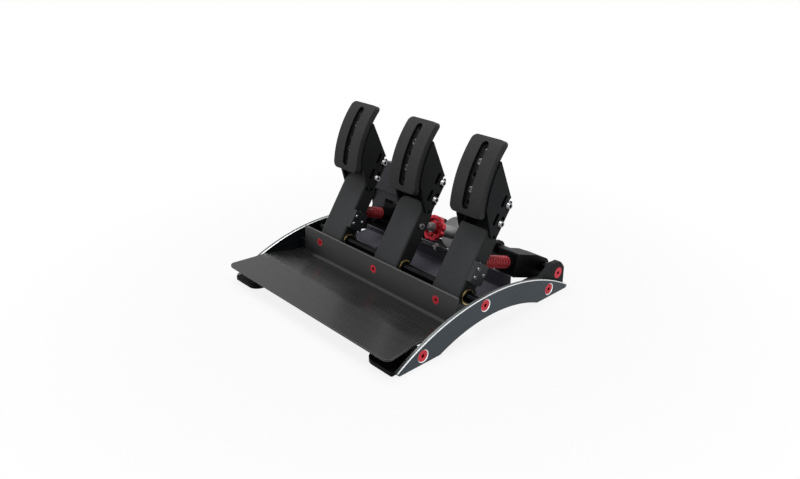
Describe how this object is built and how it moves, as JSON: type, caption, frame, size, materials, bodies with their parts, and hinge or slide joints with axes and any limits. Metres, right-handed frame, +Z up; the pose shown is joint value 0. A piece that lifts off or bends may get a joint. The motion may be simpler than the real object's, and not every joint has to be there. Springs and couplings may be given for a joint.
{
  "type": "sim racing pedal set",
  "caption": "Clutch, brake and throttle pedals on arched side plates, with a bent heel plate, sprung struts, a brake cylinder with an adjuster knob, and a control box.",
  "frame": {"origin": "centre of the bounding box on the floor", "axes": "+X to the driver's right, +Y away from the driver, +Z up"},
  "size_m": [0.37, 0.355, 0.2441],
  "materials": {
    "slate_plate": "satin anodised with bare bevels",
    "black_plate": "brushed, black anodised",
    "face_black": "matte powder coat",
    "pan_paint": "satin powder coat",
    "dark_steel": "ground, blackened",
    "steel": "turned",
    "red_anodised": "red anodised",
    "spring_red": "gloss red coat",
    "bush_brass": "turned",
    "housing_black": "fine moulded grain",
    "cylinder_grey": "satin grey",
    "sensor_grey": "moulded",
    "board": "solder mask",
    "wire": "matte sheath",
    "tie": "natural nylon"
  },
  "bodies": {
    "frame": {"side_plate_left": "slate_plate", "side_plate_right": "slate_plate", "heel_plate": "black_plate", "foot_bracket_left": "black_plate", "foot_bracket_right": "black_plate", "rear_bracket_left": "black_plate", "rear_bracket_right": "black_plate", "pan_hangers": "black_plate", "control_box_bracket": "black_plate", "base_pan": "pan_paint", "control_box_tray": "pan_paint", "control_box_cover": "pan_paint", "pivot_axle": "dark_steel", "axle_rings": "steel", "rear_tube": "dark_steel", "side_plate_screws": "red_anodised", "heel_plate_screws": "red_anodised", "rear_bracket_screws": "red_anodised", "circuit_board": "board", "clutch_sensor_wire": "wire", "throttle_sensor_wire": "wire", "brake_sensor_wire": "wire", "wire_ties": "tie"},
    "clutch_pedal": {"clutch_arm": "black_plate", "clutch_face_bracket": "black_plate", "clutch_face": "face_black", "clutch_face_screws": "dark_steel", "clutch_bracket_bolts": "steel", "clutch_bushes": "bush_brass", "clutch_strut_pin": "steel", "clutch_sensor": "sensor_grey", "clutch_sensor_screws": "steel"},
    "brake_pedal": {"brake_arm": "black_plate", "brake_face_bracket": "black_plate", "brake_face": "face_black", "brake_face_screws": "dark_steel", "brake_bracket_bolts": "steel", "brake_bushes": "bush_brass", "brake_strut_pin": "steel"},
    "throttle_pedal": {"throttle_arm": "black_plate", "throttle_face_bracket": "black_plate", "throttle_face": "face_black", "throttle_face_screws": "dark_steel", "throttle_bracket_bolts": "steel", "throttle_bushes": "bush_brass", "throttle_strut_pin": "steel", "throttle_sensor": "sensor_grey", "throttle_sensor_screws": "steel"},
    "clutch_strut": {"clutch_housing": "housing_black", "clutch_spring": "spring_red"},
    "clutch_piston": {"clutch_rod": "steel", "clutch_spring_seat": "housing_black"},
    "throttle_strut": {"throttle_housing": "housing_black", "throttle_spring": "spring_red"},
    "throttle_piston": {"throttle_rod": "steel", "throttle_spring_seat": "housing_black"},
    "brake_strut": {"brake_cylinder": "cylinder_grey"},
    "brake_piston": {"brake_rod": "cylinder_grey"},
    "adjuster_knob": {"brake_knob": "red_anodised"}
  },
  "joints": [
    {"name": "clutch_pedal_hinge", "type": "hinge", "parent": "frame", "child": "clutch_pedal", "pos_m": [-0.13, -0.0055, 0.039], "axis": [-1, 0, 0], "range_deg": [0, 18], "stiffness_Nm_per_rad": 20, "springref_deg": -8.59, "deforming": ["clutch_sensor_wire"]},
    {"name": "clutch_strut_hinge", "type": "hinge", "parent": "frame", "child": "clutch_strut", "pos_m": [-0.121, 0.1615, 0.027], "axis": [1, 0, 0], "range_deg": [0, 1.9]},
    {"name": "clutch_strut_slide", "type": "slide", "parent": "clutch_strut", "child": "clutch_piston", "axis": [0, 0.9409, -0.3386], "range_m": [0, 0.0138], "deforming": ["clutch_spring"]},
    {"name": "brake_pedal_hinge", "type": "hinge", "parent": "frame", "child": "brake_pedal", "pos_m": [0, -0.0055, 0.039], "axis": [-1, 0, 0], "range_deg": [0, 9], "stiffness_Nm_per_rad": 200, "springref_deg": -1.72},
    {"name": "brake_strut_hinge", "type": "hinge", "parent": "frame", "child": "brake_strut", "pos_m": [0, 0.1615, 0.027], "axis": [1, 0, 0], "range_deg": [0, 0.7]},
    {"name": "brake_strut_slide", "type": "slide", "parent": "brake_strut", "child": "brake_piston", "axis": [0, 0.8934, -0.4493], "range_m": [0, 0.0102]},
    {"name": "throttle_pedal_hinge", "type": "hinge", "parent": "frame", "child": "throttle_pedal", "pos_m": [0.125, -0.0055, 0.039], "axis": [-1, 0, 0], "range_deg": [0, 18], "stiffness_Nm_per_rad": 20, "springref_deg": -8.59, "deforming": ["throttle_sensor_wire"]},
    {"name": "throttle_strut_hinge", "type": "hinge", "parent": "frame", "child": "throttle_strut", "pos_m": [0.134, 0.1615, 0.027], "axis": [1, 0, 0], "range_deg": [0, 1.9]},
    {"name": "throttle_strut_slide", "type": "slide", "parent": "throttle_strut", "child": "throttle_piston", "axis": [0, 0.9409, -0.3386], "range_m": [0, 0.0138], "deforming": ["throttle_spring"]},
    {"name": "adjuster_knob_turn", "type": "hinge", "parent": "brake_piston", "child": "adjuster_knob", "pos_m": [0, 0.02856, 0.09385], "axis": [0, 0.8934, -0.4493], "continuous": true}
  ],
  "couplings": [
    {"joint": "clutch_strut_hinge", "follows": "clutch_pedal_hinge", "ratio": 0.1027},
    {"joint": "clutch_strut_slide", "follows": "clutch_pedal_hinge", "m_per_rad": 0.0433},
    {"joint": "brake_strut_hinge", "follows": "brake_pedal_hinge", "ratio": 0.0708},
    {"joint": "brake_strut_slide", "follows": "brake_pedal_hinge", "m_per_rad": 0.0637},
    {"joint": "throttle_strut_hinge", "follows": "throttle_pedal_hinge", "ratio": 0.1027},
    {"joint": "throttle_strut_slide", "follows": "throttle_pedal_hinge", "m_per_rad": 0.0433}
  ]
}
